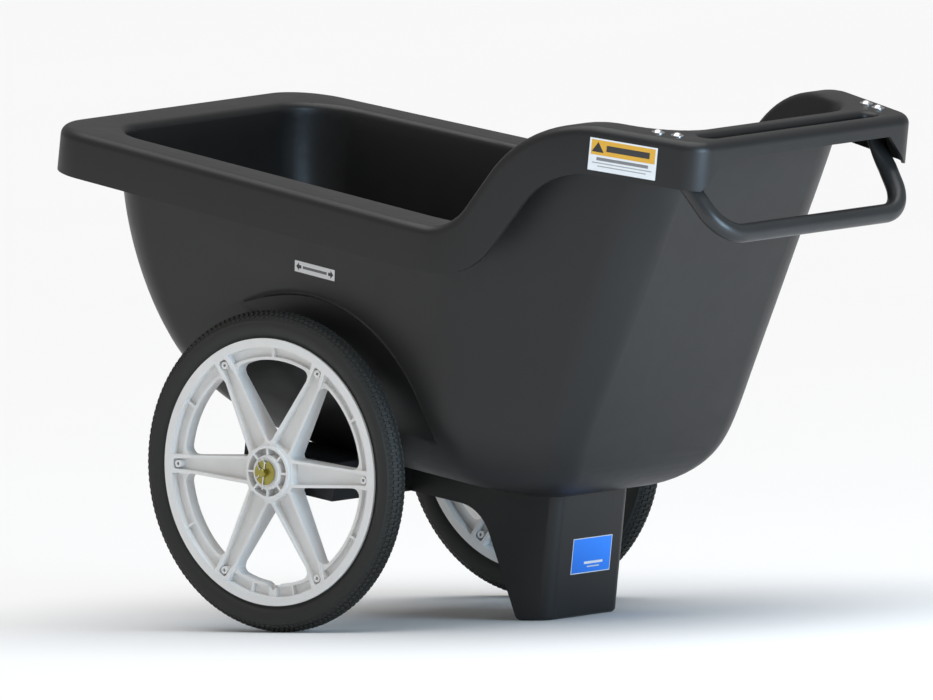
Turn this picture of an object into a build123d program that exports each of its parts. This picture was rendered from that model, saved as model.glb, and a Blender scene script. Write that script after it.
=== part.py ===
"""Two-wheeled dump cart: a moulded tub on a bolted base, with an adjustable axle and a lower handle.

Everything is drawn in the cart's own level frame: the axle is the origin, +X points to the handle,
+Z up out of the tub. The last lines tip the whole cart back until its foot meets the ground.
"""
import os
from math import asin, atan2, cos, degrees, hypot, pi, radians, sin, sqrt, tan

from build123d import *

os.makedirs("parts", exist_ok=True)

# Tub
WALL = 6.0                   # thickness of the moulded tub and base
FLOOR_Z = 12.0               # underside of the tub floor above the axle
NOSE_X = -459.0              # outside of the nose wall at the low rim
NOSE_RADIUS = 445.0          # sweep of the nose from the floor to the rim
SIDE_HALF = 296.0            # half width outside the wall at the low rim, over the axle
SIDE_LEAN = radians(6.0)
SIDE_RADIUS = 150.0          # rounding between floor and sides
SIDE_TAPER = 0.058           # widening of each side per unit of length towards the handle
WIDEST_X = 300.0             # where the sides start to draw in towards the handle
REAR_TAPER = 0.29
REAR_X = 665.0               # outside of the rear wall at the high rim
REAR_LEAN = radians(17.4)
REAR_RADIUS = 125.0
LOW_RIM = 458.5
HIGH_RIM = 663.5
NOSE_CORNER = (70.0, 112.0)  # plan radius at the floor and at the high rim
REAR_CORNER = (62.0, 100.0)
BEND_RADIUS = (120.0, 480.0)  # plan radius where the sides draw in

# Wheel arch pressed into each side
ARCH_RADIUS = 273.0
ARCH_HALF = 262.0            # half width between the flat faces of the two arches

# Rolled rim
RIM_NOSE_X = -532.0
RIM_TAIL_X = 743.5
RIM_HALF = 371.0             # half width over the axle
RIM_TAPER = 0.084
RIM_WIDEST_X = 306.0
RIM_NOSE_CORNER = 95.0
RIM_TAIL_CORNER = 46.0
RISE_FOOT_X = 338.0          # where the low rim would meet the slope up to the high rim
RISE_HEAD_X = 452.0
RISE_RADII = (75.0, 200.0)
SKIRT_LOW = 386.0            # lower edge of the skirt along the low rim
SKIRT_HIGH = 586.0
SKIRT_FOOT_X = 384.0
SKIRT_HEAD_X = 499.0
SKIRT_RADII = (110.0, 123.0)
RIM_ROUNDING = 16.0
INNER_ROUNDING = 12.0        # where the top of the rim turns down into the tub
ARCH_ROUNDING = 14.0

# Grip bar moulded across the back of the rim
GRIP_FRONT = 668.0
GRIP_HALF = 226.0
GRIP_UNDER = 634.0
SLOT_X = (686.0, 713.0)
SLOT_HALF = 214.0
SLOT_ROUNDING = 10.0
TAIL_GAP = (207.0, 255.0)    # half width of the gap in the rear skirt, at its top and at the skirt edge

# Lower handle
TUBE_RADIUS = 15.0
TUBE_WALL = 2.0
BAR_X = 770.0
BAR_Z = 518.6
BAR_HALF = 227.8             # to the corners of the bar, before they are rounded
BAR_CORNER = 60.0
ARM_FORWARD = 0.933          # lean of the arms towards the nose and outwards, per unit of rise
ARM_OUTWARD = 0.241
PINCH = ((577.0, 15.0, 15.0), (606.0, 19.0, 9.5))  # heights and half sizes where the arms flatten
PINCH_TOP = (662.0, 256.5)
PINCH_TOP_HALF = (18.0, 2.5)
TAB_THICK = 4.0
TAB_WIDTH = 32.0
TAB_MARGIN = 20.0            # tab past the middle of each end bolt
BOLT_FRONT = (647.2, 261.0)
BOLT_REAR = (678.7, 251.5)

# Fasteners
BOLT_RADIUS = 4.0
BOLT_CLEARANCE = 0.3
HEAD_RADIUS = 8.0
HEAD_HEIGHT = 4.5
WASHER_RADIUS = 10.5
WASHER_THICK = 1.6
NUT_WIDTH = 13.0
NUT_THICK = 6.5
THREAD_PAST_NUT = 4.0
BASE_BOLTS = ((66.0, 60.0), (235.0, 60.0), (345.0, 60.0))

# Base under the tub
BEAM_HALF = 92.0
BEAM_NOSE_X = -92.0
BEAM_UNDER = -34.0
KNEE_X = 234.0               # where the beam's underside would meet the front of the leg
KNEE_RADIUS = 72.0
BEAM_OPEN_X = 188.0          # end of the opening in the beam's underside
LEG_FRONT_X = 320.0
LEG_REAR_X = 386.0
LEG_BOTTOM = 186.9           # drop of the foot's rear edge below the axle
LEG_CORNER = 20.0
FOOT_THICK = 12.0            # lip turned in around the open foot
FOOT_LIP = 14.0
FOOT_ROUNDING = 8.0
BLOCK_HALF_X = 92.0
BLOCK_END_TOP = 28.0
BLOCK_END_START = 190.0

# Axle and wheels
AXLE_RADIUS = 6.35
AXLE_SHIFT = 43.0            # travel of the axle each way along its slot
RUNNING = 0.05               # radial clearance of running fits
GAP = 0.3                    # clearance between pieces that turn against each other
WHEEL_RADIUS = 254.0
TRACK = 642.3
TYRE_HALF = 21.0
SPOKES = 6
SPOKE_PHASE = 6.8
RIM_RADIUS = 211.5
RIM_HALF_WIDTH = 18.2
CHANNEL_RADIUS = 203.0
FLANGE = 4.0
BAND_RADIUS = 197.5          # inside of the band that carries the tyre
RING_RADIUS = 182.0          # outside of the inner ring
WINDOW_RADIUS = 177.0
RING_HALF_WIDTH = 10.0
WEB_HALF = 3.0
HUB_RADIUS = 42.3
HUB_HALF_WIDTH = 24.0
BOSS_RADIUS = 24.5
BOSS_HALF_WIDTH = 26.0
HUB_POCKET = (27.5, 38.0)
HUB_POCKET_DEPTH = 16.0
HUB_RIBS = 8
HUB_RIB_WIDTH = 3.2
SPOKE_HALF_HUB = 22.0        # half of a spoke's width, at the hub and at the rim
SPOKE_HALF_RIM = 13.5
SPOKE_DEPTH_HUB = 18.5       # half of a spoke's depth at the hub
SPOKE_WAIST = (165.0, 11.5)  # where a spoke is least deep, and half of its depth there
SPOKE_EDGE = 4.5
SPOKE_POCKET = (44.5, 195.5)
SPOKE_END = 30.0             # width of a spoke where it runs into the tyre band
SPOKE_HOLE_RADIUS = 2.6
SPOKE_HOLE_AT = 187.0
SPOKE_PILLAR = (6.0, 15.0)   # radius of the pillar around a spoke's hole, and half of its height
RIB_WIDTH = 4.4
WINDOW_CORNER = 13.0
APEX_CORNER = 6.0
BUSH_RADIUS = 9.5
BUSH_LENGTH = 20.0
BUSH_FLANGE_RADIUS = 15.0
BUSH_FLANGE = 2.0
HUB_WASHER_RADIUS = 19.3
HUB_WASHER_THICK = 2.5
PIN_WIRE = 1.25
PIN_LEG = 27.0
PIN_LOOP = 7.0
AXLE_STUB = 6.5              # axle past the middle of the hairpin
VALVE_RADIUS = 4.0
VALVE_LENGTH = 28.0
VALVE_CAP_RADIUS = 5.2
VALVE_CAP_LENGTH = 8.0
VALVE_BOSS_HALF = 7.5
VALVE_RIB_TURN = 12.3        # angle from the valve to the rib on each side of it
VALVE_NOTCH = ((165.0, 34.0), 188.0)  # mouth and tip of the notch in the inner ring
CAP_ROOM = 190.5             # how far out the hole in the rim is wide enough for the cap
TUBE_MINOR = 17.2
TUBE_SKIN = 1.5

PIN_TOP = 21.0
PIN_HUG = 8.3                # middle of the wire beside the axle
VALVE_CAP_END = 2.5
BEAD = ((CHANNEL_RADIUS + 0.2, 14.0), (RIM_RADIUS + 3, 14.0))
SIDEWALL = (231.0, TYRE_HALF)
SHOULDER = (247.5, 14.5)
CAVITY = ((211.0, 9.0), (229.0, 17.5), (245.0, 11.0), 248.5)

# Labels
LABEL_THICK = 0.4
AXLE_LABEL = ((-36.0, -400.0, 310.5), (51.0, -200.0, 330.5))
RIM_LABEL = ((562.0, -400.0, 594.0), (673.0, -200.0, 646.0))
LEG_LABEL = ((-43.0, -117.0), (54.0, -60.0))

hub_face = TRACK / 2 + BOSS_HALF_WIDTH + BUSH_FLANGE
hub_back = TRACK / 2 - BOSS_HALF_WIDTH - BUSH_FLANGE
outer_washer = hub_face + GAP
inner_washer = hub_back - GAP - HUB_WASHER_THICK
base_half = inner_washer - GAP
pin_y = outer_washer + HUB_WASHER_THICK + PIN_WIRE + 0.2
axle_half = pin_y + AXLE_STUB
pitch = degrees(asin(WHEEL_RADIUS / hypot(LEG_REAR_X, LEG_BOTTOM)) - atan2(LEG_BOTTOM, LEG_REAR_X))
pieces = {}
UPWARD = 0.2                 # least upward part of the normal of a face on top of the rim


def keep(name, builder):
    """Label a finished piece and hold it until the cart is set down on the ground."""
    builder.part.label = name
    pieces[name] = builder.part


# ---- Tub ---------------------------------------------------------------------------------------

def reach(z, lean, radius, inset):
    """Distance of a wall from the edge of the flat floor, at height z."""
    centre = FLOOR_Z + radius
    inner = radius - inset
    if z < centre - inner * sin(lean):
        return sqrt(max(inner**2 - (centre - z) ** 2, 0.0))
    return inner / cos(lean) + (z - centre) * tan(lean)


def level(z, inset):
    """Plan corners of the tub at height z, with their radii, from the nose to the handle."""
    nose = NOSE_X + reach(LOW_RIM, 0, NOSE_RADIUS, 0) - reach(min(z, LOW_RIM), 0, NOSE_RADIUS, inset)
    rear = REAR_X - reach(HIGH_RIM, REAR_LEAN, REAR_RADIUS, 0) + reach(z, REAR_LEAN, REAR_RADIUS, inset)
    half = SIDE_HALF - reach(LOW_RIM, SIDE_LEAN, SIDE_RADIUS, 0) + reach(z, SIDE_LEAN, SIDE_RADIUS, inset)
    widest = half + SIDE_TAPER * WIDEST_X
    share = (z - FLOOR_Z) / (HIGH_RIM - FLOOR_Z)
    radii = [low + share * (high - low) - inset for low, high in (NOSE_CORNER, BEND_RADIUS, REAR_CORNER)]
    points = (
        (nose, half + SIDE_TAPER * nose),
        (WIDEST_X, widest),
        (rear, widest - REAR_TAPER * (rear - WIDEST_X)),
    )
    return points, radii


def outline(points, radii):
    """Closed plan outline from the corners of one side."""
    far = list(points)
    near = [(x, -y) for x, y in reversed(points)]
    return FilletPolyline(*far, *near, radius=[*radii, *reversed(radii)], close=True)


def tub_levels(inset):
    """Heights of the sections, close together where the floor rounds into the sides."""
    radius = SIDE_RADIUS - inset
    rounding = [FLOOR_Z + inset + radius * (1 - cos(radians(turn))) for turn in (0, 14, 28, 42, 56, 70)]
    return rounding + [SIDE_RADIUS, 220.0, 300.0, 380.0, LOW_RIM, 560.0, HIGH_RIM + 25.0]


def step_profile(low, high, foot, head, radii):
    """Side view line that runs level, climbs towards the handle and runs level again."""
    return FilletPolyline((-900, low), (foot, low), (head, high), (1000, high), radius=list(radii))


def below(low, high, foot, head, radii, bottom=-400.0):
    """Wide solid under a stepped line, seen from the side."""
    with BuildPart() as solid:
        with BuildSketch(Plane.XZ):
            with BuildLine():
                step_profile(low, high, foot, head, radii)
                Polyline((1000, high), (1000, bottom), (-900, bottom), (-900, low))
            make_face()
        extrude(amount=600, both=True)
    return solid.part


def rim_prism(inset):
    """Plan of the rolled rim as a tall prism."""
    nose = RIM_NOSE_X + inset
    tail = RIM_TAIL_X - inset
    half = RIM_HALF - inset
    widest = half + RIM_TAPER * RIM_WIDEST_X
    points = (
        (nose, half + RIM_TAPER * nose),
        (RIM_WIDEST_X, widest),
        (tail, widest - REAR_TAPER * (tail - RIM_WIDEST_X)),
    )
    with BuildPart() as prism:
        with BuildSketch(Plane.XY.offset(-100)):
            with BuildLine():
                outline(points, (RIM_NOSE_CORNER - inset, BEND_RADIUS[1], RIM_TAIL_CORNER - inset))
            make_face()
        extrude(amount=1000)
    return prism.part


rim_line = (LOW_RIM, HIGH_RIM, RISE_FOOT_X, RISE_HEAD_X, RISE_RADII)
skirt_line = (SKIRT_LOW, SKIRT_HIGH, SKIRT_FOOT_X, SKIRT_HEAD_X, SKIRT_RADII)
shift = WALL * tan(atan2(HIGH_RIM - LOW_RIM, RISE_HEAD_X - RISE_FOOT_X) / 2)
under_rim_line = (LOW_RIM - WALL, HIGH_RIM - WALL, RISE_FOOT_X + shift, RISE_HEAD_X + shift,
                  (RISE_RADII[0] + WALL, RISE_RADII[1] - WALL))
inside_rim_line = (LOW_RIM - WALL / 2, HIGH_RIM - WALL / 2, RISE_FOOT_X + shift / 2, RISE_HEAD_X + shift / 2,
                   (RISE_RADII[0] + WALL / 2, RISE_RADII[1] - WALL / 2))


def box_between(low, high):
    """Box from its lowest corner to its highest."""
    sides = [b - a for a, b in zip(low, high)]
    middle = [(a + b) / 2 for a, b in zip(low, high)]
    return Pos(*middle) * Box(*sides, mode=Mode.PRIVATE)


def shared_edges(first, second):
    """Edges where a face of the first list meets one of the second."""
    others = [edge for face in second for edge in face.edges()]
    return [edge for face in first for edge in face.edges() if any(edge.is_same(other) for other in others)]


def tub_shape(inset, under=None):
    """Tub volume, with the wheel arches pressed in, cut off under a stepped line if one is given."""
    with BuildPart() as shape:
        for z in tub_levels(inset):
            with BuildSketch(Plane.XY.offset(z)):
                with BuildLine():
                    outline(*level(z, inset))
                make_face()
        loft()
        for side in (-1, 1):
            with BuildSketch(Plane.XZ.offset(side * (ARCH_HALF - inset))):
                Circle(ARCH_RADIUS + inset)
            extrude(amount=side * 200, mode=Mode.SUBTRACT)
        if under:
            add(below(*under), mode=Mode.INTERSECT)
    return shape.part


with BuildPart() as rim_shell:
    add(rim_prism(0))
    add(below(*rim_line), mode=Mode.INTERSECT)
    add(below(*skirt_line), mode=Mode.SUBTRACT)
    tops = [face for face in rim_shell.faces() if face.normal_at().Z > UPWARD]
    outer = [
        edge
        for edge in rim_shell.edges()
        if sum(any(edge.is_same(e) for e in top.edges()) for top in tops) == 1
    ]
    fillet(outer, RIM_ROUNDING)

with BuildPart() as rim_hollow:
    add(rim_prism(WALL))
    add(below(*under_rim_line), mode=Mode.INTERSECT)
    add(
        box_between((GRIP_FRONT, -GRIP_HALF, GRIP_UNDER), (RIM_TAIL_X + 20, GRIP_HALF, HIGH_RIM)),
        mode=Mode.SUBTRACT,
    )

with BuildPart() as tub:
    add(rim_shell.part)
    add(rim_hollow.part, mode=Mode.SUBTRACT)
    add(tub_shape(0, inside_rim_line))
    add(tub_shape(WALL), mode=Mode.SUBTRACT)
    # Soft edges around the mouth of the tub and the wheel arches
    moulded = [face for face in tub.faces() if face.geom_type == GeomType.BSPLINE]
    walls = [face for face in moulded if face.normal_at().Z < UPWARD]
    tops = [face for face in tub.faces() if face.normal_at().Z > UPWARD and face.center().Z > SKIRT_LOW]
    fillet(shared_edges(tops, walls), INNER_ROUNDING)
    drums = [face for face in tub.faces().filter_by(GeomType.CYLINDER) if abs(face.radius - ARCH_RADIUS) < 1]
    walls = [face for face in tub.faces() if face.geom_type == GeomType.BSPLINE]
    fillet(shared_edges(drums, walls), ARCH_ROUNDING)
    # The slot behind the rear wall and the gap under the grip bar
    with BuildSketch(Plane.XY.offset(HIGH_RIM + 10)):
        with Locations(((SLOT_X[0] + SLOT_X[1]) / 2, 0)):
            SlotOverall(2 * SLOT_HALF, SLOT_X[1] - SLOT_X[0], rotation=90)
    extrude(amount=GRIP_UNDER - HIGH_RIM - 20, mode=Mode.SUBTRACT)
    level_edges = tub.edges().filter_by(lambda edge: abs(edge.center().Z - HIGH_RIM) < GAP)
    mouth = level_edges.filter_by(
        lambda edge: abs(edge.center().X - sum(SLOT_X) / 2) < SLOT_X[1] - SLOT_X[0]
        and abs(edge.center().Y) < SLOT_HALF
    )
    fillet(mouth, SLOT_ROUNDING)
    with BuildSketch(Plane.YZ.offset(SLOT_X[1])):
        with BuildLine():
            Polyline(
                (-TAIL_GAP[0], GRIP_UNDER),
                (TAIL_GAP[0], GRIP_UNDER),
                (TAIL_GAP[1], SKIRT_HIGH),
                (TAIL_GAP[1], SKIRT_HIGH - 60),
                (-TAIL_GAP[1], SKIRT_HIGH - 60),
                (-TAIL_GAP[1], SKIRT_HIGH),
                close=True,
            )
        make_face()
    extrude(amount=RIM_TAIL_X, mode=Mode.SUBTRACT)
    # Holes for the bolts of the handle and of the base
    with BuildSketch(Plane.XY.offset(HIGH_RIM + 10)):
        with Locations(*[(x, side * y) for x, y in (BOLT_FRONT, BOLT_REAR) for side in (-1, 1)]):
            Circle(BOLT_RADIUS + BOLT_CLEARANCE)
    extrude(amount=-(WALL + 20), mode=Mode.SUBTRACT)
    with BuildSketch(Plane.XY.offset(FLOOR_Z - 1)):
        with Locations(*[(x, side * y) for x, y in BASE_BOLTS for side in (-1, 1)]):
            Circle(BOLT_RADIUS + BOLT_CLEARANCE)
    extrude(amount=WALL + 2, mode=Mode.SUBTRACT)
keep("tub", tub)


# ---- Base --------------------------------------------------------------------------------------

def ground_below(z):
    """Solid under the ground, which is level once the cart is tipped back."""
    return Rot(0, -pitch, 0) * Pos(0, 0, z - 200) * Box(2000, 2000, 400, mode=Mode.PRIVATE)


flank = (LEG_FRONT_X - KNEE_X) / (LEG_BOTTOM + BEAM_UNDER)
foot_front = LEG_FRONT_X + flank * FOOT_THICK

with BuildPart() as base:
    with BuildSketch(Plane.XZ) as side_view:
        with BuildLine():
            Polyline(
                (BEAM_NOSE_X, FLOOR_Z),
                (BEAM_NOSE_X, BEAM_UNDER),
                (KNEE_X, BEAM_UNDER),
                (LEG_FRONT_X + flank * (WHEEL_RADIUS - LEG_BOTTOM), -WHEEL_RADIUS),
                (LEG_REAR_X, -WHEEL_RADIUS),
                (LEG_REAR_X, FLOOR_Z),
                close=True,
            )
        make_face()
        fillet(side_view.vertices().sort_by_distance((KNEE_X, BEAM_UNDER))[0], KNEE_RADIUS)
    extrude(amount=BEAM_HALF, both=True)
    leg_corners = base.edges().filter_by(Axis.Z).group_by(Axis.X)[-1]
    fillet(leg_corners, LEG_CORNER)
    add(box_between((-BLOCK_HALF_X, -base_half, BEAM_UNDER), (BLOCK_HALF_X, base_half, FLOOR_Z)))
    for side in (-1, 1):
        ends = sorted((side * BLOCK_END_START, side * base_half))
        add(box_between((-BLOCK_HALF_X, ends[0], FLOOR_Z - 1), (BLOCK_HALF_X, ends[1], BLOCK_END_TOP)))
    # Hollow from below, with the leg open only at its foot, inside a lip
    with BuildPart(mode=Mode.SUBTRACT):
        with BuildSketch(Plane.XZ):
            add(side_view.sketch_local)
            offset(amount=-WALL, kind=Kind.INTERSECTION, mode=Mode.REPLACE)
        extrude(amount=BEAM_HALF - WALL, both=True)
        add(ground_below(FOOT_THICK - WHEEL_RADIUS), mode=Mode.SUBTRACT)
    add(
        box_between(
            (foot_front + FOOT_LIP, FOOT_LIP - BEAM_HALF, -WHEEL_RADIUS),
            (LEG_REAR_X - FOOT_LIP, BEAM_HALF - FOOT_LIP, -LEG_BOTTOM + LEG_CORNER),
        ),
        mode=Mode.SUBTRACT,
    )
    add(
        box_between(
            (BEAM_NOSE_X + WALL, WALL - BEAM_HALF, BEAM_UNDER - 1), (BEAM_OPEN_X, BEAM_HALF - WALL, 0)
        ),
        mode=Mode.SUBTRACT,
    )
    for side in (-1, 1):
        ends = sorted((side * BEAM_HALF, side * (base_half - WALL)))
        far = sorted((side * (BLOCK_END_START + WALL), side * (base_half - WALL)))
        add(
            box_between(
                (WALL - BLOCK_HALF_X, ends[0], BEAM_UNDER - 1),
                (BLOCK_HALF_X - WALL, ends[1], FLOOR_Z - WALL),
            ),
            mode=Mode.SUBTRACT,
        )
        add(
            box_between(
                (WALL - BLOCK_HALF_X, far[0], 0), (BLOCK_HALF_X - WALL, far[1], BLOCK_END_TOP - WALL)
            ),
            mode=Mode.SUBTRACT,
        )
    add(ground_below(-WHEEL_RADIUS), mode=Mode.SUBTRACT)
    sole = base.faces().filter_by(
        lambda face: abs(face.normal_at().X - sin(radians(pitch))) < 0.01 and face.normal_at().Z < 0
    )
    fillet(sole[0].outer_wire().edges(), FOOT_ROUNDING)
    # Slot for the axle, right across, and the holes for the tub's bolts
    with BuildSketch(Plane.XZ.offset(-base_half - 1)):
        SlotCenterToCenter(2 * AXLE_SHIFT, 2 * (AXLE_RADIUS + RUNNING))
    extrude(amount=2 * base_half + 2, mode=Mode.SUBTRACT)
    with BuildSketch(Plane.XY.offset(FLOOR_Z + 1)):
        with Locations(*[(x, side * y) for x, y in BASE_BOLTS for side in (-1, 1)]):
            Circle(BOLT_RADIUS + BOLT_CLEARANCE)
    extrude(amount=-WALL - 2, mode=Mode.SUBTRACT)
keep("base", base)


# ---- Fasteners ---------------------------------------------------------------------------------

def bolt(x, y, seat, grip):
    """Dome-headed bolt standing on its washer at height seat, clamping a stack of thickness grip."""
    under_head = seat + WASHER_THICK
    length = WASHER_THICK + grip + NUT_THICK + THREAD_PAST_NUT
    dome_radius = (HEAD_RADIUS**2 + HEAD_HEIGHT**2) / (2 * HEAD_HEIGHT)
    with BuildPart() as one:
        with BuildSketch(Plane.XZ):
            with BuildLine():
                RadiusArc((0, HEAD_HEIGHT), (HEAD_RADIUS, 0), dome_radius)
                Polyline(
                    (HEAD_RADIUS, 0), (BOLT_RADIUS, 0), (BOLT_RADIUS, -length), (0, -length), (0, HEAD_HEIGHT)
                )
            make_face()
        revolve(axis=Axis.Z)
    return Pos(x, y, under_head) * one.part


def washer(x, y, seat):
    """Flat washer lying on a face at height seat."""
    with BuildPart() as one:
        Cylinder(WASHER_RADIUS, WASHER_THICK, align=(Align.CENTER, Align.CENTER, Align.MIN))
        Cylinder(BOLT_RADIUS + BOLT_CLEARANCE, 3 * WASHER_THICK, mode=Mode.SUBTRACT)
    return Pos(x, y, seat) * one.part


def nut(x, y, seat):
    """Hexagon nut pressed up against a face at height seat."""
    with BuildPart() as one:
        with BuildSketch():
            RegularPolygon(NUT_WIDTH / 2, 6, major_radius=False)
            Circle(BOLT_RADIUS, mode=Mode.SUBTRACT)
        extrude(amount=-NUT_THICK)
    return Pos(x, y, seat) * one.part


handle_places = [(x, side * y) for x, y in (BOLT_FRONT, BOLT_REAR) for side in (-1, 1)]
base_places = [(x, side * y) for x, y in BASE_BOLTS for side in (-1, 1)]
for name, places, seat, grip in (
    ("handle", handle_places, HIGH_RIM, WALL + TAB_THICK),
    ("base", base_places, FLOOR_Z + WALL, 2 * WALL),
):
    for kind, group in (
        ("_bolts", [bolt(x, y, seat, grip) for x, y in places]),
        ("_washers", [washer(x, y, seat) for x, y in places]),
        ("_nuts", [nut(x, y, seat - grip) for x, y in places]),
    ):
        with BuildPart() as fasteners:
            add(group)
        keep(name + kind, fasteners)


# ---- Lower handle ------------------------------------------------------------------------------

tab_z = HIGH_RIM - WALL - TAB_THICK
tab_turn = degrees(atan2(BOLT_REAR[1] - BOLT_FRONT[1], BOLT_REAR[0] - BOLT_FRONT[0]))
tab_length = hypot(BOLT_REAR[0] - BOLT_FRONT[0], BOLT_REAR[1] - BOLT_FRONT[1]) + 2 * TAB_MARGIN
tab_middle = ((BOLT_FRONT[0] + BOLT_REAR[0]) / 2, (BOLT_FRONT[1] + BOLT_REAR[1]) / 2)


def on_arm(side, z):
    """Middle of an arm at a height."""
    rise = z - BAR_Z
    return (BAR_X - ARM_FORWARD * rise, side * (BAR_HALF + ARM_OUTWARD * rise), z)


with BuildPart() as lower_handle:
    with BuildLine() as route:
        FilletPolyline(
            on_arm(-1, PINCH[0][0]),
            on_arm(-1, BAR_Z),
            on_arm(1, BAR_Z),
            on_arm(1, PINCH[0][0]),
            radius=BAR_CORNER,
        )
    with BuildSketch(Plane(route.line @ 0, z_dir=route.line % 0)):
        Circle(TUBE_RADIUS)
        Circle(TUBE_RADIUS - TUBE_WALL, mode=Mode.SUBTRACT)
    sweep(path=route.line)
    for side in (-1, 1):
        for height, wide, thick in PINCH:
            along = (-ARM_FORWARD, side * ARM_OUTWARD, 1)
            with BuildSketch(Plane(origin=on_arm(side, height), x_dir=(0, 1, 0), z_dir=along)):
                Ellipse(wide, thick)
        with BuildSketch(Plane(origin=(PINCH_TOP[0], side * PINCH_TOP[1], tab_z + 1), x_dir=(0, 1, 0))):
            Ellipse(*PINCH_TOP_HALF)
        loft()
        with BuildSketch(Plane.XY.offset(tab_z)):
            with Locations(Location((tab_middle[0], side * tab_middle[1], 0), (0, 0, side * tab_turn))):
                SlotOverall(tab_length, TAB_WIDTH)
            with Locations(*[(x, side * y) for x, y in (BOLT_FRONT, BOLT_REAR)]):
                Circle(BOLT_RADIUS + BOLT_CLEARANCE, mode=Mode.SUBTRACT)
        extrude(amount=TAB_THICK)
keep("lower_handle", lower_handle)


# ---- Axle --------------------------------------------------------------------------------------

with BuildPart() as axle:
    with BuildSketch(Plane.XZ.offset(-axle_half)):
        Circle(AXLE_RADIUS)
    extrude(amount=2 * axle_half)
    chamfer(axle.edges().filter_by(GeomType.CIRCLE), 1.0)
    for side in (-1, 1):
        with BuildSketch(Plane.XY):
            with Locations((0, side * pin_y)):
                Circle(PIN_WIRE + GAP / 2)
        extrude(amount=2 * AXLE_RADIUS, both=True, mode=Mode.SUBTRACT)
keep("axle", axle)


# ---- Wheels ------------------------------------------------------------------------------------

def both_sides(points):
    """Points of one half of a section, followed by their mirror images in reverse."""
    return [*points, *[(x, -y) for x, y in reversed(points)]]


def window():
    """Opening between two spokes, symmetrical about the local X axis."""
    spoke = Vector(cos(pi / SPOKES), sin(pi / SPOKES))
    across = Vector(spoke.Y, -spoke.X)
    low = spoke * HUB_RADIUS + across * SPOKE_HALF_HUB
    high = spoke * sqrt(WINDOW_RADIUS**2 - SPOKE_HALF_RIM**2) + across * SPOKE_HALF_RIM
    apex = Vector(low.X - low.Y * (high.X - low.X) / (high.Y - low.Y), 0)
    with BuildSketch() as opening:
        with BuildLine():
            Line(apex, high)
            ThreePointArc(high, (WINDOW_RADIUS, 0), (high.X, -high.Y))
            Line((high.X, -high.Y), apex)
        make_face()
        fillet(opening.vertices().group_by(Axis.X)[-1], WINDOW_CORNER)
        fillet(opening.vertices().sort_by(Axis.X)[0], APEX_CORNER)
    return opening.sketch


def spoke_pocket():
    """Recess between the raised edges of the spoke that lies along the local X axis."""
    taper = (SPOKE_HALF_RIM - SPOKE_HALF_HUB) / (WINDOW_RADIUS - HUB_RADIUS)
    low, high = [SPOKE_HALF_HUB + taper * (x - HUB_RADIUS) - SPOKE_EDGE for x in SPOKE_POCKET]
    with BuildSketch() as pocket:
        with BuildLine():
            Polyline(
                (SPOKE_POCKET[0], -low),
                (SPOKE_POCKET[1], -high),
                (SPOKE_POCKET[1], high),
                (SPOKE_POCKET[0], low),
                close=True,
            )
        make_face()
        fillet(pocket.vertices(), SPOKE_EDGE)
    return pocket.sketch


def valve_notch():
    """Opening in the inner ring at the valve, along the local X axis."""
    (mouth_x, mouth_half), tip_x = VALVE_NOTCH
    with BuildSketch() as notch:
        with BuildLine():
            Polyline((mouth_x, -mouth_half), (tip_x, 0), (mouth_x, mouth_half), close=True)
        make_face()
    return notch.sketch


one_window = window()
one_notch = valve_notch()
one_pocket = spoke_pocket()
step = 360 / SPOKES
tube_centre = (CAVITY[1][0], 0)

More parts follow.
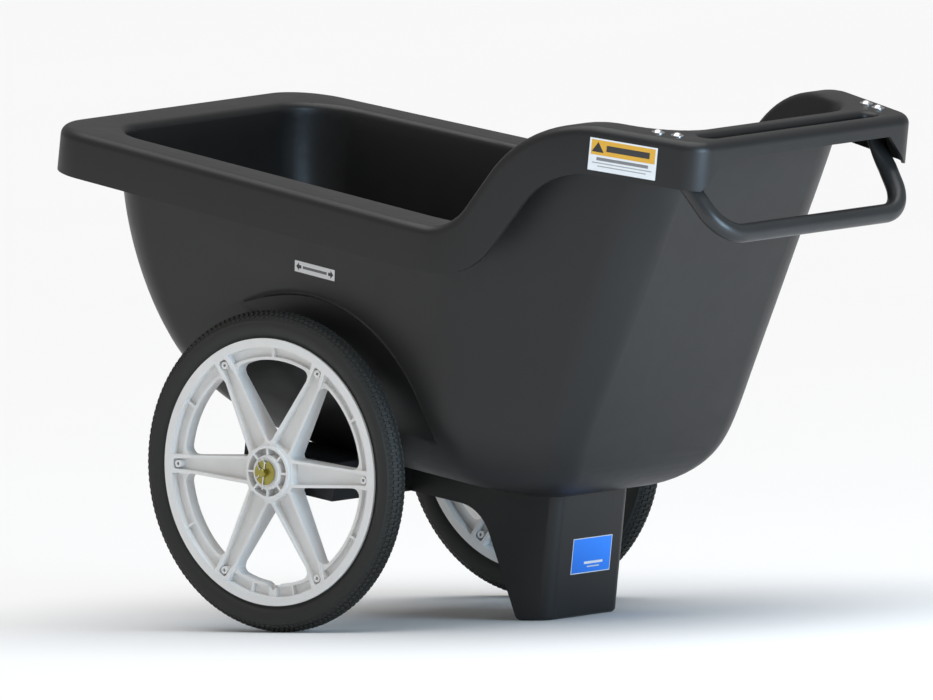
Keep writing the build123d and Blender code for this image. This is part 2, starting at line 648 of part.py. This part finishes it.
for side, hand in ((-1, "left"), (1, "right")):
    turn = radians(SPOKE_PHASE)
    centre = Vector(0, side * TRACK / 2, 0)
    wheel = Plane(origin=centre, x_dir=(cos(turn), 0, sin(turn)), z_dir=(0, side, 0))
    section = Plane(origin=centre, x_dir=wheel.x_dir, z_dir=-wheel.y_dir)
    spin = Axis(centre, (0, side, 0))
    faces = [wheel, Plane(origin=centre, x_dir=wheel.x_dir, z_dir=-wheel.z_dir)]
    down = -wheel.y_dir if side < 0 else wheel.y_dir
    valve = Plane(origin=centre, x_dir=wheel.x_dir, z_dir=down)
    valve_turn = side * 90 % 360
    rib_turns = [turns for turns in (step / 2 + step * k for k in range(SPOKES)) if turns != valve_turn]
    rib_turns += [valve_turn - VALVE_RIB_TURN, valve_turn + VALVE_RIB_TURN]

    with BuildPart() as rim:
        # Blank turned about the axle: hub, cone of the spokes, inner ring and tyre band
        with BuildSketch(section):
            with BuildLine():
                Polyline(
                    *both_sides((
                        (BUSH_RADIUS, BOSS_HALF_WIDTH), (BOSS_RADIUS, BOSS_HALF_WIDTH),
                        (BOSS_RADIUS, HUB_HALF_WIDTH), (HUB_RADIUS, HUB_HALF_WIDTH),
                        (HUB_RADIUS, SPOKE_DEPTH_HUB), SPOKE_WAIST, (BAND_RADIUS, RIM_HALF_WIDTH),
                        (RIM_RADIUS, RIM_HALF_WIDTH), (RIM_RADIUS, RIM_HALF_WIDTH - FLANGE),
                        (CHANNEL_RADIUS, RIM_HALF_WIDTH - FLANGE),
                    )),
                    close=True,
                )
            make_face()
        revolve(axis=spin)
        # Pockets of the spokes and of the outer recess, down to a thin web
        with BuildSketch(wheel):
            with PolarLocations(0, SPOKES):
                add(one_pocket)
            with BuildSketch(mode=Mode.PRIVATE) as recess:
                Circle(BAND_RADIUS)
                Circle(RING_RADIUS, mode=Mode.SUBTRACT)
                with PolarLocations(BAND_RADIUS, SPOKES):
                    Rectangle(2 * (BAND_RADIUS - RING_RADIUS) + 10, SPOKE_END, mode=Mode.SUBTRACT)
                for rib_at in rib_turns:
                    with PolarLocations(BAND_RADIUS, 1, start_angle=rib_at):
                        Rectangle(2 * (BAND_RADIUS - RING_RADIUS) + 10, RIB_WIDTH, mode=Mode.SUBTRACT)
                with PolarLocations(BAND_RADIUS, 1, start_angle=valve_turn):
                    Rectangle(2 * (BAND_RADIUS - RING_RADIUS) + 10, 2 * VALVE_BOSS_HALF, mode=Mode.SUBTRACT)
            add(recess.sketch)
        extrude(amount=RIM_HALF_WIDTH + 10, both=True, mode=Mode.SUBTRACT)
        with BuildSketch(wheel):
            Circle(BAND_RADIUS + 1)
            Circle(HUB_RADIUS - 1, mode=Mode.SUBTRACT)
        extrude(amount=WEB_HALF, both=True)
        with BuildSketch(wheel):
            with PolarLocations(SPOKE_HOLE_AT, SPOKES):
                Circle(SPOKE_PILLAR[0])
        extrude(amount=SPOKE_PILLAR[1], both=True)
        with BuildSketch(wheel):
            with PolarLocations(0, SPOKES, start_angle=step / 2):
                add(one_window)
            with PolarLocations(0, 1, start_angle=valve_turn):
                add(one_notch)
        extrude(amount=RIM_HALF_WIDTH + 10, both=True, mode=Mode.SUBTRACT)
        for face in faces:
            with BuildSketch(face.offset(RING_HALF_WIDTH)):
                Circle(BAND_RADIUS)
                Circle(SPOKE_WAIST[0], mode=Mode.SUBTRACT)
                with PolarLocations(BAND_RADIUS, SPOKES):
                    Rectangle(2 * (BAND_RADIUS - SPOKE_WAIST[0]) + 10, SPOKE_END, mode=Mode.SUBTRACT)
            extrude(amount=RIM_HALF_WIDTH, mode=Mode.SUBTRACT)
            with BuildSketch(face.offset(HUB_HALF_WIDTH - HUB_POCKET_DEPTH)):
                Circle(HUB_POCKET[1])
                Circle(HUB_POCKET[0], mode=Mode.SUBTRACT)
                with PolarLocations(HUB_POCKET[1], HUB_RIBS):
                    Rectangle(2 * (HUB_POCKET[1] - HUB_POCKET[0]) + 4, HUB_RIB_WIDTH, mode=Mode.SUBTRACT)
            extrude(amount=2 * HUB_POCKET_DEPTH, mode=Mode.SUBTRACT)
            with BuildSketch(face.offset(WEB_HALF)):
                with PolarLocations(SPOKE_HOLE_AT, SPOKES):
                    Circle(SPOKE_HOLE_RADIUS)
            extrude(amount=RIM_HALF_WIDTH, mode=Mode.SUBTRACT)
        with BuildSketch(valve.offset(WINDOW_RADIUS - 10)):
            Circle(VALVE_RADIUS + GAP)
        extrude(amount=RIM_RADIUS - WINDOW_RADIUS + 20, mode=Mode.SUBTRACT)
        with BuildSketch(valve.offset(WINDOW_RADIUS - 10)):
            Circle(VALVE_CAP_RADIUS + GAP)
        extrude(amount=CAP_ROOM - WINDOW_RADIUS + 10, mode=Mode.SUBTRACT)
    keep(hand + "_rim", rim)

    with BuildPart() as tyre:
        with BuildSketch(section):
            with BuildLine():
                Line(BEAD[0], BEAD[1])
                ThreePointArc(BEAD[1], SIDEWALL, SHOULDER)
                ThreePointArc(SHOULDER, (WHEEL_RADIUS, 0), (SHOULDER[0], -SHOULDER[1]))
                ThreePointArc(
                    (SHOULDER[0], -SHOULDER[1]), (SIDEWALL[0], -SIDEWALL[1]), (BEAD[1][0], -BEAD[1][1])
                )
                Line((BEAD[1][0], -BEAD[1][1]), (BEAD[0][0], -BEAD[0][1]))
                Line((BEAD[0][0], -BEAD[0][1]), (BEAD[0][0], -CAVITY[0][1]))
                Line((BEAD[0][0], -CAVITY[0][1]), (CAVITY[0][0], -CAVITY[0][1]))
                ThreePointArc(
                    (CAVITY[0][0], -CAVITY[0][1]),
                    (CAVITY[1][0], -CAVITY[1][1]),
                    (CAVITY[2][0], -CAVITY[2][1]),
                )
                ThreePointArc((CAVITY[2][0], -CAVITY[2][1]), (CAVITY[3], 0), CAVITY[2])
                ThreePointArc(CAVITY[2], CAVITY[1], CAVITY[0])
                Line(CAVITY[0], (BEAD[0][0], CAVITY[0][1]))
                Line((BEAD[0][0], CAVITY[0][1]), BEAD[0])
            make_face()
        revolve(axis=spin)
    keep(hand + "_tyre", tyre)

    with BuildPart() as inner_tube:
        with BuildSketch(section):
            with Locations(tube_centre):
                Circle(TUBE_MINOR)
                Circle(TUBE_MINOR - TUBE_SKIN, mode=Mode.SUBTRACT)
        revolve(axis=spin)
    keep(hand + "_inner_tube", inner_tube)

    stem_top = tube_centre[0] - TUBE_MINOR - GAP / 3
    with BuildPart() as valve_stem:
        with BuildSketch(valve.offset(stem_top)):
            Circle(VALVE_RADIUS)
        extrude(amount=-VALVE_LENGTH)
    keep(hand + "_valve_stem", valve_stem)

    with BuildPart() as valve_cap:
        with BuildSketch(valve.offset(stem_top - VALVE_LENGTH + VALVE_CAP_LENGTH - VALVE_CAP_END)):
            Circle(VALVE_CAP_RADIUS)
        extrude(amount=-VALVE_CAP_LENGTH)
        with BuildSketch(valve.offset(stem_top)):
            Circle(VALVE_RADIUS)
        extrude(amount=-VALVE_LENGTH, mode=Mode.SUBTRACT)
    keep(hand + "_valve_cap", valve_cap)

    for face, place in zip(faces, ("outer", "inner")):
        with BuildPart() as bushing:
            with BuildSketch(face.offset(BOSS_HALF_WIDTH)):
                Circle(BUSH_FLANGE_RADIUS)
            extrude(amount=BUSH_FLANGE)
            with BuildSketch(face.offset(BOSS_HALF_WIDTH)):
                Circle(BUSH_RADIUS)
            extrude(amount=-BUSH_LENGTH)
            with BuildSketch(face.offset(BOSS_HALF_WIDTH + BUSH_FLANGE)):
                Circle(AXLE_RADIUS + RUNNING)
            extrude(amount=-BUSH_FLANGE - BUSH_LENGTH, mode=Mode.SUBTRACT)
        keep(hand + "_" + place + "_bushing", bushing)

        with BuildPart() as hub_washer:
            with BuildSketch(face.offset(BOSS_HALF_WIDTH + BUSH_FLANGE + GAP)):
                Circle(HUB_WASHER_RADIUS)
                Circle(AXLE_RADIUS + GAP / 2, mode=Mode.SUBTRACT)
            extrude(amount=HUB_WASHER_THICK)
        keep(hand + "_" + place + "_washer", hub_washer)

    with BuildPart() as hairpin:
        with BuildLine(Plane.XZ.offset(-side * pin_y)) as wire:
            FilletPolyline(
                (0, -PIN_LEG), (0, PIN_TOP), (-2 * PIN_LOOP, PIN_TOP), (-2 * PIN_LOOP, PIN_TOP - PIN_LOOP - 3),
                (-PIN_HUG, 5), (-PIN_HUG, -5), (-2 * PIN_LOOP, -12),
                radius=[PIN_LOOP - 0.1, PIN_LOOP - 0.1, 2.5, 4, 4],
            )
        with BuildSketch(Plane(wire.line @ 0, z_dir=wire.line % 0)):
            Circle(PIN_WIRE)
        sweep(path=wire.line)
    keep(hand + "_hairpin", hairpin)


# ---- Labels ------------------------------------------------------------------------------------

with BuildPart() as axle_label:
    add(tub_shape(-LABEL_THICK))
    add(tub_shape(0), mode=Mode.SUBTRACT)
    add(box_between(*AXLE_LABEL), mode=Mode.INTERSECT)
keep("axle_label", axle_label)

with BuildPart() as rim_label:
    add(rim_prism(-LABEL_THICK))
    add(rim_prism(0), mode=Mode.SUBTRACT)
    add(box_between(*RIM_LABEL), mode=Mode.INTERSECT)
keep("rim_label", rim_label)

with BuildPart() as leg_label:
    add(box_between((LEG_REAR_X, *LEG_LABEL[0]), (LEG_REAR_X + LABEL_THICK, *LEG_LABEL[1])))
keep("leg_label", leg_label)


# ---- Set the cart down on its wheels and foot --------------------------------------------------

tipped = Rot(0, pitch, 0)
boxes = [(tipped * piece).bounding_box() for piece in pieces.values()]
middle = (min(box.min.X for box in boxes) + max(box.max.X for box in boxes)) / 2
rest = Pos(-middle, 0, WHEEL_RADIUS) * tipped
print("pitch", round(pitch, 3), "axle at x", round(-middle, 2))
for name, piece in pieces.items():
    placed = rest * piece
    placed.label = name
    export_step(placed, "parts/" + name + ".step")
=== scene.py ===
"""Looks of a two-wheeled tub cart: moulded plastics, knobbly tyres, plated steel and plain labels."""
from math import cos, pi, radians, sin

import bmesh
import bpy
from mathutils import Matrix, Vector


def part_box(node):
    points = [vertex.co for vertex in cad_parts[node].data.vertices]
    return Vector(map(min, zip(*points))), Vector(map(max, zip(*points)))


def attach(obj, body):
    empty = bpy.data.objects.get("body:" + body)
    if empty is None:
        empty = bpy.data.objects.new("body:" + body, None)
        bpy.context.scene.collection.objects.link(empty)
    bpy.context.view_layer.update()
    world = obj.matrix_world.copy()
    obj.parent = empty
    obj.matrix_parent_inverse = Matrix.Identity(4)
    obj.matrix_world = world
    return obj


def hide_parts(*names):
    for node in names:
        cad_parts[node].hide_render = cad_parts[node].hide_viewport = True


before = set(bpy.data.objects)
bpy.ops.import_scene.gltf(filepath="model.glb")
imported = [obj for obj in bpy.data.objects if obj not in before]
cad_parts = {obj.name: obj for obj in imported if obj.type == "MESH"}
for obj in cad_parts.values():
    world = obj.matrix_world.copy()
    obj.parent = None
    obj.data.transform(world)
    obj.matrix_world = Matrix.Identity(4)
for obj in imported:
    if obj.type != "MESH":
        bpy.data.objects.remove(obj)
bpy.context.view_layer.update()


# Camera. Far off with parallel rays, a little above the rim and round towards the handle end,
# rolled slightly, as the cart is usually shown.
axle_middle = sum(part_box("axle"), Vector()) / 2
view_right = Vector((0.7772, 0.6274, -0.0489))
view_up = Vector((-0.0076, 0.0870, 0.9962))
view_back = Vector((0.6292, -0.7738, 0.0723))
eye = bpy.data.cameras.new("camera")
eye.type = "ORTHO"
eye.ortho_scale = 1.4674
eye.clip_end = 60
camera = bpy.data.objects.new("camera", eye)
bpy.context.scene.collection.objects.link(camera)
stand = Matrix((view_right, view_up, view_back)).transposed().to_4x4()
stand.translation = axle_middle + 0.0975 * view_right + 0.1628 * view_up + 6 * view_back
camera.matrix_world = stand
bpy.context.scene.camera = camera


# Tub. One hollow rotomoulded polyethylene shell in dark charcoal: satin, with the fine pebble of a
# blasted mould, slow changes of shade, and a duller bloom where dust settles.
class Socket:
    """A shader socket with arithmetic: each operator adds its Math node."""

    def __init__(self, tree, link):
        self.tree = tree
        self.link = link

    def math(self, operation, other=0.0, flip=False):
        node = self.tree.nodes.new("ShaderNodeMath")
        node.operation = operation
        for place, value in zip(node.inputs, (other, self) if flip else (self, other)):
            feed(self.tree, place, value)
        return Socket(self.tree, node.outputs[0])

    def __add__(self, other): return self.math("ADD", other)
    def __radd__(self, other): return self.math("ADD", other)
    def __sub__(self, other): return self.math("SUBTRACT", other)
    def __rsub__(self, other): return self.math("SUBTRACT", other, flip=True)
    def __mul__(self, other): return self.math("MULTIPLY", other)
    def __rmul__(self, other): return self.math("MULTIPLY", other)
    def __lt__(self, other): return self.math("LESS_THAN", other)
    def __gt__(self, other): return self.math("GREATER_THAN", other)
    def __abs__(self): return self.math("ABSOLUTE")


def feed(tree, place, value):
    """Link a socket to an input, or set the input to a value."""
    if isinstance(value, Socket):
        tree.links.new(value.link, place)
    else:
        place.default_value = value


class Finish:
    """One procedural material in object coordinates, around a Principled shader."""

    def __init__(self, name, **constants):
        self.material = bpy.data.materials.new(name)
        self.material.use_nodes = True
        self.tree = self.material.node_tree
        self.shader = self.tree.nodes["Principled BSDF"]
        self.place = self.add("ShaderNodeTexCoord", output="Object")
        self.set(**constants)

    def set(self, **values):
        """Shader inputs by name, with spaces as underscores."""
        for name, value in values.items():
            feed(self.tree, self.shader.inputs[name.replace("_", " ")], value)

    def add(self, kind, *values, settings=(), output=0, **inputs):
        """Any node: its settings first, then its inputs by place or by name."""
        node = self.tree.nodes.new(kind)
        for key, value in dict(settings).items():
            setattr(node, key, value)
        for place, value in zip(node.inputs, values):
            feed(self.tree, place, value)
        for name, value in inputs.items():
            feed(self.tree, node.inputs[name.replace("_", " ")], value)
        return Socket(self.tree, node.outputs[output])

    def noise(self, scale, detail=2.0, roughness=0.5):
        grain = {"Scale": scale, "Detail": detail, "Roughness": roughness}
        return self.add("ShaderNodeTexNoise", Vector=self.place, **grain)

    def mix(self, factor, first, second):
        node = self.tree.nodes.new("ShaderNodeMix")
        node.data_type = "RGBA"
        for place, value in zip((node.inputs[0], node.inputs[6], node.inputs[7]), (factor, first, second)):
            feed(self.tree, place, value)
        return Socket(self.tree, node.outputs[2])

    def bump(self, height, strength, distance):
        self.set(Normal=self.add("ShaderNodeBump", Height=height, Strength=strength, Distance=distance))


def shade(value, tint=(1.0, 1.0, 1.0)):
    return tuple(value * part for part in tint) + (1.0,)


def moulded(name, base, tint, roughness, pebble):
    """Moulded plastic with a pebbled skin, slow changes of shade and a duller bloom."""
    skin = Finish(name, IOR=1.46)
    cloud = skin.noise(3.5, 4.0)
    bloom = skin.noise(26.0, 5.0, 0.65)
    skin.set(
        Base_Color=skin.mix(cloud * 0.6 + bloom * 0.4, shade(base * 0.8, tint), shade(base * 1.2, tint)),
        Roughness=bloom * 0.16 + (roughness - 0.08),
    )
    skin.bump(skin.noise(pebble) * 0.7 + skin.noise(pebble / 5) * 0.3, 0.3, 0.0004)
    return skin.material


def skinned(node, body, material, angle=32, dissolve=0.4):
    """Welded copy of a CAD piece, smooth across its facets and sharp along its real edges."""
    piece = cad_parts[node].copy()
    piece.data = piece.data.copy()
    piece.name = node + "_skin"
    piece.parent = None
    bpy.context.scene.collection.objects.link(piece)
    mesh = bmesh.new()
    mesh.from_mesh(piece.data)
    bmesh.ops.remove_doubles(mesh, verts=mesh.verts, dist=1e-5)
    bmesh.ops.dissolve_limit(mesh, angle_limit=radians(dissolve), verts=mesh.verts, edges=mesh.edges)
    mesh.to_mesh(piece.data)
    mesh.free()
    for name in ("custom_normal", "sharp_face", "sharp_edge"):
        if name in piece.data.attributes:
            piece.data.attributes.remove(piece.data.attributes[name])
    piece.data.shade_smooth()
    piece.data.set_sharp_from_angle(angle=radians(angle))
    piece.data.materials.clear()
    piece.data.materials.append(material)
    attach(piece, body)
    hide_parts(node)
    return piece


cart_plastic = moulded("cart_plastic", 0.0105, (1.0, 1.0, 1.0), 0.42, 900.0)
skinned("tub", "cart", cart_plastic)


# Base. A second moulding in the same plastic, open underneath, that carries the axle and the rear leg.
# Six bolts hold it up against the floor of the tub.
skinned("base", "cart", cart_plastic)


# Lower handle. Bent steel tube with flattened ends in a satin black powder coat, whose orange peel
# shows in the highlights; two bolts a side hold it under the rim.
coat = Finish("powder_coat", IOR=1.5)
coat.set(
    Base_Color=coat.mix(coat.noise(9.0, 3.0), shade(0.016), shade(0.024, (0.97, 1.0, 1.02))),
    Roughness=coat.noise(60.0, 4.0) * 0.14 + 0.3,
)
coat.bump(coat.noise(420.0, 3.0), 0.3, 0.0003)
skinned("lower_handle", "cart", coat.material, angle=40)


# Fasteners. Bright zinc on the bolts and washers, duller zinc on the nuts, with the patchy bloom
# that plating gets in store.
def plated(name, first, second, roughness, scale):
    """Plated metal whose colour and gloss change in small patches."""
    plate = Finish(name, Metallic=1.0)
    patches = plate.noise(scale, 4.0, 0.6)
    plate.set(Base_Color=plate.mix(patches, first, second), Roughness=patches * 0.2 + (roughness - 0.1))
    plate.bump(plate.noise(scale * 8), 0.15, 0.0001)
    return plate.material


bright_zinc = plated("bright_zinc", shade(0.6, (0.97, 1.0, 1.03)), shade(0.82), 0.28, 120.0)
for name in ("handle_bolts", "handle_washers", "base_bolts", "base_washers"):
    skinned(name, "cart", bright_zinc)
dull_zinc = plated("dull_zinc", shade(0.36), shade(0.52), 0.42, 150.0)
for name in ("handle_nuts", "base_nuts"):
    skinned(name, "cart", dull_zinc)


# Axle. Cold drawn steel bar right across the cart, in yellow chromated zinc, with a plate washer
# each side of each hub in the same finish.
yellow_zinc = plated("yellow_zinc", (0.26, 0.22, 0.05, 1.0), (0.5, 0.45, 0.13, 1.0), 0.34, 90.0)
skinned("axle", "axle_set", yellow_zinc)
for hand in ("left", "right"):
    for place in ("outer", "inner"):
        skinned(f"{hand}_{place}_washer", "axle_set", yellow_zinc)


# Hairpins. Bright spring wire, pushed through a cross hole at each end of the axle and gripping it.
spring_wire = plated("spring_wire", shade(0.55), shade(0.72), 0.26, 200.0)
for hand in ("left", "right"):
    skinned(hand + "_hairpin", "axle_set", spring_wire, angle=60)


# Rims. One white nylon moulding each: ribbed hub, six channelled spokes, inner ring and the band that
# carries the tyre. Every rib has a small radius from the mould; a little grime sits in the corners.
nylon = Finish("white_nylon", IOR=1.5, Subsurface_Weight=0.08, Subsurface_Radius=(0.004, 0.003, 0.002))
grime = nylon.noise(14.0, 5.0, 0.6)
nylon.set(
    Base_Color=nylon.mix(grime, shade(0.7, (1.0, 0.99, 0.97)), shade(0.84, (1.0, 1.0, 0.99))),
    Roughness=grime * 0.12 + 0.28,
)
nylon.bump(nylon.noise(300.0), 0.08, 0.0002)
for hand in ("left", "right"):
    rim = skinned(hand + "_rim", hand + "_wheel", nylon.material, angle=28, dissolve=0.2)
    rounding = rim.modifiers.new("rounding", "BEVEL")
    rounding.width = 0.001
    rounding.segments = 2
    rounding.limit_method = "ANGLE"
    rounding.angle_limit = radians(35)
    rounding.harden_normals = True


# Bushings. Turned acetal, pressed into both ends of each hub, slightly yellower than the rim.
acetal = moulded("acetal", 0.62, (1.0, 0.98, 0.92), 0.4, 600.0)
for hand in ("left", "right"):
    for place in ("outer", "inner"):
        skinned(f"{hand}_{place}_bushing", hand + "_wheel", acetal)


# Tyres. Pneumatic, black rubber over cords: smooth sidewalls with one fine ring, and a tread of small
# staggered blocks whose outer rows wrap over the shoulders. Dust greys the rubber unevenly.
rubber = Finish("tyre_rubber", IOR=1.5)
dust = rubber.noise(40.0, 6.0, 0.7)
rubber.set(
    Base_Color=rubber.mix(dust, (0.007, 0.0075, 0.0062, 1.0), (0.016, 0.0168, 0.0142, 1.0)),
    Roughness=dust * 0.25 + 0.5,
)
rubber.bump(rubber.noise(700.0, 3.0), 0.25, 0.0003)

# Half of the section, as radius and distance from the middle plane, from the bead to the crown.
HALF_SECTION = (
    (0.2042, 0.0138), (0.2130, 0.0140), (0.2150, 0.0146), (0.2180, 0.0170), (0.2220, 0.0191),
    (0.2260, 0.0204), (0.2310, 0.0210), (0.2350, 0.0206), (0.2382, 0.0198), (0.2390, 0.0200),
    (0.2400, 0.0196), (0.2405, 0.0187), (0.2430, 0.0168), (0.2462, 0.0135), (0.2488, 0.0100),
    (0.2509, 0.0062), (0.2520, 0.0028),
)
CROWN_CENTRE = 0.2346
CROWN_RADIUS = 0.0194
BLOCKS = 156
BLOCK_HEIGHT = 0.0022
BLOCK_LENGTH = 0.0062
BLOCK_DRAFT = 0.82
# Lean of each row of blocks around the crown in degrees, its width, and its stagger in blocks.
ROWS = (
    (-60, 0.0055, 0.0), (-37, 0.0064, 0.5), (-12.5, 0.0068, 0.0),
    (12.5, 0.0068, 0.5), (37, 0.0064, 0.0), (60, 0.0055, 0.5),
)
for hand in ("left", "right"):
    centre = sum(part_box(hand + "_tyre"), Vector()) / 2
    spin = {"cent": centre, "axis": (0, 1, 0)}
    mesh = bmesh.new()
    section = [*HALF_SECTION, *[(out, -across) for out, across in reversed(HALF_SECTION)]]
    points = [mesh.verts.new(centre + Vector((out, across, 0))) for out, across in section]
    loop = [mesh.edges.new(pair) for pair in zip(points, points[1:] + points[:1])]
    bmesh.ops.spin(mesh, geom=points + loop, angle=2 * pi, steps=160, use_merge=True, **spin)
    for face in mesh.faces:
        face.smooth = True
    for lean, width, stagger in ROWS:
        turn = Matrix.Rotation(2 * pi * stagger / BLOCKS, 4, "Y") @ Matrix.Translation((CROWN_CENTRE, 0, 0))
        turn = turn @ Matrix.Rotation(radians(lean), 4, "Z")
        turn = turn @ Matrix.Translation((CROWN_RADIUS - BLOCK_HEIGHT / 2, 0, 0))
        size = Matrix.Diagonal((BLOCK_HEIGHT, width, BLOCK_LENGTH, 1))
        block = bmesh.ops.create_cube(mesh, matrix=Matrix.Translation(centre) @ turn @ size)["verts"]
        crown = sorted(block, key=lambda v: (turn.inverted() @ (v.co - centre)).x)[4:]
        top = sum((v.co for v in crown), Vector()) / 4
        bmesh.ops.scale(mesh, verts=crown, vec=(BLOCK_DRAFT,) * 3, space=Matrix.Translation(-top))
        sides = {edge for v in block for edge in v.link_edges}
        sides |= {face for v in block for face in v.link_faces}
        bmesh.ops.spin(
            mesh, geom=block + list(sides), angle=2 * pi * (BLOCKS - 1) / BLOCKS, steps=BLOCKS - 1,
            use_duplicate=True, **spin,
        )
    bmesh.ops.recalc_face_normals(mesh, faces=mesh.faces)
    sheet = bpy.data.meshes.new(hand + "_tyre_skin")
    mesh.to_mesh(sheet)
    mesh.free()
    tyre = bpy.data.objects.new(hand + "_tyre_skin", sheet)
    bpy.context.scene.collection.objects.link(tyre)
    sheet.materials.append(rubber.material)
    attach(tyre, hand + "_wheel")
    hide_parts(hand + "_tyre")


# Inner tubes and valves. Butyl tube inside each tyre, its rubber valve stem through the rim, and a
# pale screwed cap.
def dress(node, material):
    """Give a CAD piece that keeps its shape its finish."""
    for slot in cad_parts[node].material_slots:
        slot.material = material


butyl = moulded("butyl", 0.02, (1.0, 1.0, 1.0), 0.5, 500.0)
cap_plastic = moulded("cap_plastic", 0.55, (1.0, 1.0, 0.98), 0.4, 800.0)
for hand in ("left", "right"):
    dress(hand + "_inner_tube", butyl)
    dress(hand + "_valve_stem", butyl)
    skinned(hand + "_valve_cap", hand + "_wheel", cap_plastic)


# Labels. Printed vinyl under a clear film, stuck on flat: plain shapes only, with bars where lines of print
# would be, and painted light graded over the blue one.
tilt = radians(10.481)
tipped_x = Vector((cos(tilt), 0, -sin(tilt)))
tipped_z = Vector((sin(tilt), 0, cos(tilt)))


class Print(Finish):
    """A flat label with its own centre and directions, in metres."""

    def __init__(self, name, node, across):
        super().__init__(name, IOR=1.5)
        middle = sum(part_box(node), Vector()) / 2
        minus = {"settings": {"operation": "SUBTRACT"}}
        away = self.add("ShaderNodeVectorMath", self.place, tuple(middle), **minus)
        dot = {"settings": {"operation": "DOT_PRODUCT"}, "output": "Value"}
        self.u = self.add("ShaderNodeVectorMath", away, tuple(across), **dot)
        self.v = self.add("ShaderNodeVectorMath", away, tuple(tipped_z), **dot)
        self.colour = None

    def bar(self, u, v, half_u, half_v):
        """1 inside a rectangle."""
        return (abs(self.u - u) < half_u) * (abs(self.v - v) < half_v)

    def wedge(self, along, across, tip, length, spread):
        """1 inside a triangle that opens from its tip along one direction."""
        ahead = along - tip if length > 0 else tip - along
        return (ahead > 0.0) * (ahead < abs(length)) * (abs(across) < ahead * spread)

    def ink(self, colour, mask):
        self.colour = self.mix(mask, self.colour, colour)

    def finish(self, node):
        wear = self.noise(60.0, 4.0, 0.6)
        self.set(Base_Color=self.colour, Roughness=wear * 0.12 + 0.24)
        self.bump(self.noise(250.0), 0.05, 0.0002)
        dress(node, self.material)


side_print = Print("axle_print", "axle_label", tipped_x)
side_print.colour = side_print.mix(side_print.noise(90.0), shade(0.68), shade(0.8))
side_print.ink(shade(0.02), 1 - side_print.bar(0, 0, 0.0425, 0.0090))
side_print.ink(shade(0.75), side_print.bar(0, 0, 0.0415, 0.0082))
for way in (-1, 1):
    arrow = side_print.wedge(side_print.u, side_print.v, way * 0.0395, -way * 0.006, 1.1)
    side_print.ink(shade(0.02), arrow)
    side_print.ink(shade(0.02), side_print.bar(way * 0.0315, 0, 0.003, 0.0026))
side_print.ink(shade(0.12), side_print.bar(0, 0, 0.0255, 0.0022))
side_print.finish("axle_label")

rim_print = Print("rim_print", "rim_label", tipped_x)
rim_print.colour = rim_print.mix(rim_print.noise(90.0), shade(0.72), shade(0.82))
rim_print.ink((0.72, 0.38, 0.035, 1.0), rim_print.bar(0, 0.0115, 0.0525, 0.0120))
rim_print.ink(shade(0.02), rim_print.wedge(rim_print.v, rim_print.u + 0.0415, 0.0205, -0.0165, 0.6))
rim_print.ink(shade(0.03), rim_print.bar(0.008, 0.0115, 0.0355, 0.0050))
rim_print.ink(shade(0.2), rim_print.bar(0.0, -0.0065, 0.0425, 0.0026))
rim_print.ink(shade(0.35), rim_print.bar(0.0, -0.0130, 0.0490, 0.0009))
rim_print.ink(shade(0.35), rim_print.bar(0.0, -0.0180, 0.0400, 0.0009))
rim_print.finish("rim_label")

leg_print = Print("leg_print", "leg_label", Vector((0, 1, 0)))
# Painted light: the blue label is mixed darker towards its bottom and lighter towards its top and its +Y
# edge.
painted_light_gradient = leg_print.u * 5 + leg_print.v * 8 + 0.5
leg_print.colour = leg_print.mix(painted_light_gradient, (0.0, 0.14, 0.6, 1.0), (0.01, 0.25, 0.95, 1.0))
leg_print.ink(shade(0.7), leg_print.bar(0.006, -0.0120, 0.0230, 0.0020))
leg_print.ink(shade(0.6), leg_print.bar(0.006, -0.0185, 0.0150, 0.0010))
leg_print.ink(shade(0.7), 1 - leg_print.bar(0, 0, 0.0473, 0.0273))
leg_print.finish("leg_label")


# Studio. A pale paper floor, an even white room, a broad soft sun overhead, a warm lamp towards the
# near side and a cool one at the handle end.
mesh = bmesh.new()
bmesh.ops.create_grid(mesh, x_segments=1, y_segments=1, size=30)
sheet = bpy.data.meshes.new("floor")
mesh.to_mesh(sheet)
mesh.free()
floor = bpy.data.objects.new("floor", sheet)
bpy.context.scene.collection.objects.link(floor)
paper = Finish("paper", IOR=1.3)
paper.set(
    Base_Color=paper.mix(paper.noise(0.8), shade(0.88), shade(0.9)),
    Roughness=paper.noise(2.0) * 0.05 + 0.9,
)
sheet.materials.append(paper.material)

room = bpy.data.worlds.new("room")
bpy.context.scene.world = room
room.use_nodes = True
room.node_tree.nodes["Background"].inputs["Color"].default_value = (1.0, 1.0, 1.0, 1.0)
room.node_tree.nodes["Background"].inputs["Strength"].default_value = 0.33


def lamp(name, kind, place, aim, size, power, colour=(1.0, 1.0, 1.0)):
    """Soft lamp at a place, turned to its aim."""
    light = bpy.data.lights.new(name, kind)
    if kind == "AREA":
        light.shape = "DISK"
        light.size = size
    else:
        light.angle = size
    light.energy = power
    light.color = colour
    rig = bpy.data.objects.new(name, light)
    rig.location = place
    rig.rotation_euler = (Vector(aim) - Vector(place)).to_track_quat("-Z", "Y").to_euler()
    bpy.context.scene.collection.objects.link(rig)


lamp("overhead", "SUN", (0, 0, 5), (0, 0, 0), radians(70), 2.35)
lamp("near_side", "AREA", (-2.5, -4.0, 1.6), (0, 0, 0.4), 2.0, 4, (1.0, 0.94, 0.86))
lamp("tail", "AREA", (3.6, -0.6, 0.9), (0.3, 0, 0.5), 1.6, 95, (0.55, 0.78, 1.0))
bpy.context.scene.view_settings.view_transform = "Standard"
